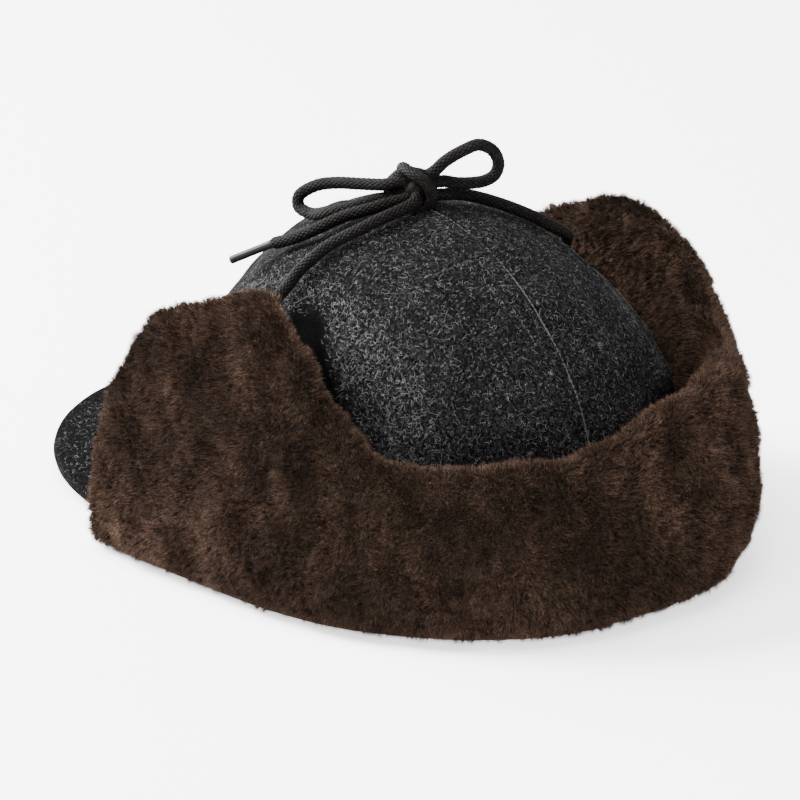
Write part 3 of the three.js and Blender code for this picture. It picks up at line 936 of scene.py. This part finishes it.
def fleece_rings(sizes, sections, outside_count, inside_count, sink):
    """The closed sections of the fleece: its rounded outside with the relief of locks, drawn in by sink, the
    face behind the cloth, and the fold under the rim."""
    _, _, height, depth, _ = sections
    count = len(height)
    outline = curve_through(FLEECE_OUTLINE[:, :2] * (0.35, 1), outside_count) / (0.35, 1)
    walk = np.linspace(0, 1, outside_count)
    rows = np.linspace(0, 1, len(FLEECE_OUTLINE))
    spot = curve_through(FLEECE_OUTLINE[:, :2] * (0.35, 1), 600)
    nearest = ((spot[:, None] - FLEECE_OUTLINE[None, :, :2] * (0.35, 1)) ** 2).sum(-1).argmin(0) / 599
    row_at = np.interp(walk, nearest, rows * (len(FLEECE_OUTLINE) - 1))
    shown = np.interp(row_at, np.arange(len(FLEECE_OUTLINE)), FLEECE_OUTLINE[:, 2])
    index = np.linspace(0, 84, count)[:, None]
    lock = 0.6 * np.sin(2.1 * index + 1.3 * row_at) + 0.4 * np.sin(1.1 * index - 2.3 * row_at)
    inner = sizes.cloth_wall + CLEARANCE
    out = inner + outline[None, :, 0] * depth[:, None]
    up = outline[None, :, 1] * height[:, None]
    top, fold = cloth_top(sizes, sections), sizes.fold_depth - CLEARANCE
    down = np.linspace(1, 0, inside_count + 1)[None, 1:]
    out = np.concatenate((out, inner + (out[:, -1:] - inner) * down**2), axis=1)
    up = np.concatenate((up, top[:, None] + (up[:, -1:] - top[:, None]) * down), axis=1)
    smooth = flap_points(sizes, sections, out, up)
    waves = soft_waves(smooth[:, :outside_count], 0.026, 61)
    relief = shown * sizes.lock_relief * (0.1 * lock + 0.8 * waves)
    out[:, :outside_count] += relief
    grid = flap_points(sizes, sections, out, up)
    outward = surface_normals(grid)
    fade = np.clip(np.linspace(0, 1, grid.shape[1]) / 0.1, 0, 1)
    body = grid - (sink * fade)[None, :, None] * outward
    steps = np.linspace(1, 0, 4)[:-1]
    behind_up = sizes.fold_depth + (top - sizes.fold_depth - 0.001)[:, None] * steps[None, :]
    ledge = sizes.fold_ledge
    under = ((inner, fold), (-ledge, fold), (-ledge, 0.35 * fold), (-0.5 * ledge, 0))
    under_out, under_up = (np.tile(column, (count, 1)) for column in zip(*under))
    rest_out = np.concatenate((np.full((count, 3), inner), under_out), axis=1)
    rest_up = np.concatenate((behind_up, under_up), axis=1)
    rest = flap_points(sizes, sections, rest_out, rest_up)
    return grid, outward, np.concatenate((body, rest), axis=1)


def warped_cells(places, size, seed):
    """The number of the cell that each place lies in: cubes of one size, in space bent by soft waves."""
    bent = places + size * soft_shifts(places, 5 * size, range(seed, seed + 3))
    _, cell = np.unique(np.floor(bent / size).astype(int), axis=0, return_inverse=True)
    return cell.ravel()


def pile(sizes, grid, outward, count, rng):
    """Strands of sheared pile, each one tapered face. It stands on the skin and leans with a soft field and
    with its own clump, whose length it shares. It bends to the middle of its own fine tuft."""
    row, column = scattered(grid, count, rng)
    surface = read_grid(grid, row, column)
    normal = unit(read_grid(outward, row, column))
    clump, tuft = warped_cells(surface, CLUMP_SIZE, 61), warped_cells(surface, TUFT_SIZE, 51)
    clumps, members = clump.max() + 1, np.bincount(tuft)
    share = 1 + rng.normal(0, 0.15, clumps)[clump] + rng.normal(0, 0.09, count)
    length = sizes.pile_length * np.clip(share, 0.5, 1.5)
    root = surface - (0.92 * sizes.pile_length) * normal
    field = soft_shifts(surface, 0.038, (31, 32, 33))
    clump_lean = rng.normal(0, 0.2, (clumps, 3))[clump]
    lean = 0.18 * field + clump_lean + rng.normal(0, 0.13, (count, 3)) + np.array((0, 0, -0.06))
    lean = lean - normal * dot(lean, normal)[:, None]
    ahead = unit(normal + lean)
    tip = root + ahead * length[:, None]
    middle = np.stack([np.bincount(tuft, tip[:, axis]) / members for axis in range(3)], -1)
    pull = rng.uniform(0.3, 0.85, count)[:, None]
    tip = tip + pull * (middle[tuft] - tip)
    aside = unit(np.cross(ahead, rng.normal(size=(count, 3))))
    width = rng.uniform(0.00024, 0.00042, count)[:, None]
    points = np.stack((root - 0.5 * width * aside, root + 0.5 * width * aside, tip), axis=1)
    points[..., 2] = np.maximum(points[..., 2], FLOOR_CLEARANCE)
    clump_tone = rng.normal(0, 0.09, clumps)[clump]
    own = rng.normal(0.58, 0.25, count) + rng.normal(0, 0.32, len(members))[tuft] + clump_tone
    tone = np.clip(own[:, None] * np.array((0.0, 0.0, 1.0))[None, :], 0, 1)
    return points, tone, row


def aimed(name, data, azimuth, elevation, distance):
    """A camera or a light that looks at the cap. At azimuth 0 it looks along +Y, from the front."""
    turn, lift = np.radians(azimuth), np.radians(elevation)
    back = Vector((np.sin(turn) * np.cos(lift), -np.cos(turn) * np.cos(lift), np.sin(lift)))
    item = bpy.data.objects.new(name, data)
    item.location = LOOK_AT + distance * back
    item.rotation_euler = back.to_track_quat("Z", "Y").to_euler()
    bpy.context.scene.collection.objects.link(item)
    return item


class WOOLCAP_OT_stage(bpy.types.Operator):
    """Make the floor, the soft studio lights and the camera at the photograph's angle"""

    bl_idname = "wool_cap.stage"
    bl_label = "Stage"

    def execute(self, context):
        colours = context.scene.wool_cap_colours
        mesh = bpy.data.meshes.new("floor")
        corners = [(x * FLOOR_HALF, y * FLOOR_HALF, 0) for x, y in ((-1, -1), (1, -1), (1, 1), (-1, 1))]
        mesh.from_pydata(corners, [], [(0, 1, 2, 3)])
        finish, shader = new_material("Floor", 0.9, 0.0)
        shader.inputs["Base Color"].default_value = colours.floor
        # The floor glows as well: painted light that keeps it evenly white and lightens the cap's shadow on it.
        shader.inputs["Emission Color"].default_value = colours.floor
        shader.inputs["Emission Strength"].default_value = 1.6
        mesh.materials.append(finish)
        floor = bpy.data.objects.new("floor", mesh)
        context.scene.collection.objects.link(floor)

        camera = bpy.data.cameras.new("camera")
        camera.lens, camera.sensor_width = CAMERA_LENS, CAMERA_SENSOR
        camera.clip_end = 60
        context.scene.camera = aimed("camera", camera, CAMERA_AZIMUTH, CAMERA_ELEVATION, CAMERA_DISTANCE)
        for name, (azimuth, elevation, distance, size, power) in LIGHTS.items():
            light = bpy.data.lights.new(name, "AREA")
            light.shape, light.size, light.energy = "DISK", size, power
            aimed(name, light, azimuth, elevation, distance)
        world = bpy.data.worlds.new("soft room")
        world.use_nodes = True
        world.node_tree.nodes["Background"].inputs["Color"].default_value = (1, 1, 1, 1)
        world.node_tree.nodes["Background"].inputs["Strength"].default_value = 0.5
        context.scene.world = world
        return {"FINISHED"}


class WOOLCAP_OT_cords(bpy.types.Operator):
    """Make the braided cords, the strands of the bow's knot and the plastic tips"""

    bl_idname = "wool_cap.cords"
    bl_label = "Cords and bow"

    def execute(self, context):
        sizes, colours = context.scene.wool_cap_sizes, context.scene.wool_cap_colours
        # The cord's colour falls to 0.03 where its tone is low: painted shade in the braid's grooves.
        braid_finish = plain_material("Braided cord", colours.cord, 0.6, 0.07, 0.03)
        tip_finish = plain_material("Cord tip", colours.tip, 0.4, 0.15)
        diameter = sizes.cord_diameter
        knot = self.knot(sizes, braid_finish)
        tips = {side: self.tip(sizes, side, tip_finish) for side in TIP_DIRECTIONS}
        for name, points in CORD_ROUTES.items():
            kind, side = name.split("_")
            route = np.array(points) + RIM_MIDDLE
            inside = KNOT_MIDDLE + RIM_MIDDLE
            ends = [0.45 * route[0] + 0.55 * inside]
            if kind == "loop":
                route = np.vstack((ends, route, [0.45 * route[-1] + 0.55 * inside]))
            else:
                route = np.vstack((ends, route))
            path = curve_through(route, int(walked_along(route)[-1] / CORD_STEP))
            made, faces, tone = braided_tube(path, diameter)
            cord = new_piece(f"cord_{name}_braid", made, faces, braid_finish, tone)
            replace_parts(cord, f"cord_{name}")
        return {"FINISHED"}

    def knot(self, sizes, finish):
        """Two closed turns of cord round a rounded middle, in one piece. The middle is an ellipsoid, drawn
        darker than the turns as painted shade.
        """
        groups, used, points, tones = [], 0, [], []
        middle = KNOT_MIDDLE + RIM_MIDDLE
        for turn in (KNOT_WRAP, KNOT_BUMP):
            strand = np.array(turn) + middle
            path = curve_through(np.vstack((strand, strand[:1])), 190)
            made, faces, tone = braided_tube(path, 0.92 * sizes.cord_diameter)
            groups += [group + used for group in faces]
            points.append(made)
            tones.append(tone)
            used += len(made)
        polar = np.linspace(0.02, np.pi - 0.02, 40)[:, None]
        round_it = (2 * np.pi * np.arange(48) / 48)[None, :]
        relief, _ = braid(0.016 * polar / np.pi, round_it, 8, 0.0042)
        reach = 0.94 + 0.06 * relief
        x = 0.0054 * np.sin(polar) * np.cos(round_it) * reach
        y = 0.0050 * np.sin(polar) * np.sin(round_it) * reach
        z = 0.0046 * np.cos(polar) * reach
        ball = np.stack((x, y, z), axis=-1)[::-1] + middle
        groups += [group + used for group in closed_tube_faces(40, 48)]
        points.append(closed_tube_points(ball))
        # Painted shade: the middle's tone is kept low, so it is drawn darker than the cord.
        tones.append(np.concatenate((0.3 * relief.ravel(), (0, 0))))
        points, tones = np.vstack(points), np.concatenate(tones)
        knot = new_piece("bow_knot_strands", points, groups, finish, tones)
        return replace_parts(knot, "bow_knot")

    def tip(self, sizes, side, finish):
        """A plastic tip: a round profile carried along its axis, closed over the cord at one end, with a rounded
        mouth and a short hollow at the other."""
        ahead = unit(np.array(TIP_DIRECTIONS[side]))
        start = np.array(CORD_ROUTES[f"tail_{side}"][-1]) + RIM_MIDDLE - 0.0006 * ahead
        radius, length = 0.5 * sizes.tip_diameter, sizes.tip_length + 0.0014
        # along as a share of the length, radius as a share of the tip's
        profile = np.array(
            ((0, 0.4), (0, 1.0), (0.02, 1.12), (0.05, 1.14), (0.08, 1.05), (0.3, 1.0), (0.6, 0.99), (0.9, 1.0),
             (0.985, 1.0), (1.0, 0.93), (1.0, 0.8), (0.985, 0.74), (0.86, 0.7), (0.86, 0.02))
        )
        sides = 32
        beside, over = (axis[0] for axis in carried_directions(np.stack((start, start + 0.01 * ahead))))
        angle = 2 * np.pi * np.arange(sides) / sides
        round_it = np.cos(angle)[:, None] * beside + np.sin(angle)[:, None] * over
        rings = (
            start + (profile[:, :1] * length)[:, None] * ahead + (profile[:, 1:] * radius)[:, None] * round_it
        )
        tip = new_piece(
            f"tip_{side}_sleeve", closed_tube_points(rings), closed_tube_faces(len(profile), sides), finish,
        )
        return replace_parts(tip, f"tip_{side}")


class WOOLCAP_OT_crown(bpy.types.Operator):
    """Make the crown's four wool panels, the stitching of the middle seam and the loose fibres"""

    bl_idname = "wool_cap.crown"
    bl_label = "Crown"

    def execute(self, context):
        sizes = context.scene.wool_cap_sizes
        finish = wool_material("Crown wool", 0.34, painted_flap_shade=True)
        outers = []
        for name, shape in crown_shapes(sizes).items():
            outer, inner = crown_panel(sizes, shape)
            rings, faces = slab(outer, inner)
            # Each panel's tone is the painted shade behind the flap's edge.
            panel = new_piece(f"{name}_wool", rings, faces, finish, flap_painted_shade(sizes, rings))
            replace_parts(panel, name)
            outers.append(outer)
        thread = plain_material("Seam thread", (0.048, 0.048, 0.048, 1), 0.8, 0.05)
        angle = np.linspace(0.075 * np.pi, 0.98 * np.pi, 900)
        beside_seam = sizes.middle_seam + STITCHES_ASIDE
        line, high = (crown_slice(sizes, beside_seam, angle, inset) for inset in (0.0003, -0.001))
        made, faces = stitches(line, unit(high - line))
        new_piece("middle_seam_stitches", made, faces, thread)
        rng = np.random.default_rng(11)
        # Fewer loose fibres lie where shade is painted behind the flap.
        weights = [1 - flap_painted_shade(sizes, outer) for outer in outers]
        add_fibres("crown_loose_fibres", outers, weights, sizes.fibre_count, rng)
        return {"FINISHED"}


class WOOLCAP_OT_peak(bpy.types.Operator):
    """Make the wool-covered peak with its loose fibres"""

    bl_idname = "wool_cap.peak"
    bl_label = "Peak"

    def execute(self, context):
        sizes = context.scene.wool_cap_sizes
        side = np.sin(0.5 * np.pi * np.linspace(-1, 1, 140))[:, None]
        towards_edge = np.cos(np.linspace(0.2, 1, 12) * np.pi / 2)
        share = np.concatenate((np.linspace(0, 0.93, 46), 1 - 0.07 * towards_edge))[None, :]
        wall = sizes.peak_wall
        near_edge = np.clip((1 - share) * 0.08 / (0.5 * wall), 0, 1)
        drop = 0.47 * wall * rolled_edge(near_edge)
        dimple = 0.0003 * soft_waves(peak_surface(sizes, side, share, 0), 0.03, 8) * near_edge
        top = peak_surface(sizes, side, share, drop + dimple)
        under = peak_surface(sizes, side, share, wall - drop)
        rings, faces = slab(top, under)
        # The peak's wool is darkened to 0.3 of the crown's colours: painted shade.
        peak = new_piece("peak_wool", rings, faces, wool_material("Peak wool", 0.25, 0.3))
        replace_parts(peak, "peak")
        rng = np.random.default_rng(12)
        add_fibres("peak_loose_fibres", [top], [None], sizes.fibre_count // 8, rng)
        return {"FINISHED"}


class WOOLCAP_OT_flap_cloth(bpy.types.Operator):
    """Make the cloth side of the turned-up flap, which faces the crown"""

    bl_idname = "wool_cap.flap_cloth"
    bl_label = "Flap cloth"

    def execute(self, context):
        sizes = context.scene.wool_cap_sizes
        sections = flap_sections(sizes, 360)
        top, low = cloth_top(sizes, sections), sizes.fold_depth
        share = np.linspace(0, 1, 40)[None, :]
        up = low + (top - low)[:, None] * share
        drop = 0.42 * sizes.cloth_wall * rolled_edge((1 - share) * (top - low)[:, None] / CLOTH_ROLL)
        outer = flap_points(sizes, sections, sizes.cloth_wall - drop, up)
        inner = flap_points(sizes, sections, drop, up)
        rings, faces = slab(outer, inner)
        finish = wool_material("Flap wool", 0.5, 0.9)
        cloth = new_piece("flap_cloth_wool", rings, faces[:, ::-1], finish)
        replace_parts(cloth, "flap_cloth")
        return {"FINISHED"}


class WOOLCAP_OT_fleece(bpy.types.Operator):
    """Make the sheepskin of the flap: its ground and its sheared pile"""

    bl_idname = "wool_cap.fleece"
    bl_label = "Fleece"

    def execute(self, context):
        sizes = context.scene.wool_cap_sizes
        sections = flap_sections(sizes, 420)
        grid, outward, rings = fleece_rings(sizes, sections, 60, 20, 0.55 * sizes.pile_length)
        ground_finish = fleece_material("Sheepskin ground", False)
        faces = closed_tube_faces(rings.shape[0], rings.shape[1])
        ground = new_piece("flap_fleece_ground", closed_tube_points(rings), faces, ground_finish)
        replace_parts(ground, "flap_fleece")
        rng = np.random.default_rng(5)
        points, tone, row = pile(sizes, grid, outward, sizes.pile_count, rng)
        finish = fleece_material("Sheepskin pile", True)
        for part, chosen in enumerate(np.array_split(np.argsort(row), 4), 1):
            faces = np.arange(3 * len(chosen)).reshape(-1, 3)
            new_piece(f"flap_fleece_pile_{part}", points[chosen], faces, finish, tone[chosen])
        return {"FINISHED"}


PIECE_OPERATORS = (
    WOOLCAP_OT_stage, WOOLCAP_OT_cords, WOOLCAP_OT_crown, WOOLCAP_OT_peak, WOOLCAP_OT_flap_cloth,
    WOOLCAP_OT_fleece,
)


class WOOLCAP_PT_panel(bpy.types.Panel):
    """The cap's operators, sizes and colours"""

    bl_idname = "WOOLCAP_PT_panel"
    bl_label = "Wool Cap"
    bl_space_type = "VIEW_3D"
    bl_region_type = "UI"
    bl_category = "Wool Cap"

    def draw(self, context):
        for operator in PIECE_OPERATORS:
            self.layout.operator(operator.bl_idname)
        for group in (context.scene.wool_cap_sizes, context.scene.wool_cap_colours):
            for name in group.bl_rna.properties.keys():
                if name not in ("rna_type", "name"):
                    self.layout.prop(group, name)


CLASSES = (WoolCapSizes, WoolCapColours, *PIECE_OPERATORS, WOOLCAP_PT_panel)


def register():
    """Adds the cap's classes and its settings to Blender."""
    for item in CLASSES:
        bpy.utils.register_class(item)
    bpy.types.Scene.wool_cap_sizes = bpy.props.PointerProperty(type=WoolCapSizes)
    bpy.types.Scene.wool_cap_colours = bpy.props.PointerProperty(type=WoolCapColours)


def unregister():
    """Takes them away again."""
    del bpy.types.Scene.wool_cap_sizes
    del bpy.types.Scene.wool_cap_colours
    for item in reversed(CLASSES):
        bpy.utils.unregister_class(item)


def main():
    """Makes the stage and every piece."""
    register()
    bpy.ops.wool_cap.stage()
    bpy.ops.wool_cap.cords()
    bpy.ops.wool_cap.crown()
    bpy.ops.wool_cap.peak()
    bpy.ops.wool_cap.flap_cloth()
    bpy.ops.wool_cap.fleece()


if __name__ == "__main__":
    main()
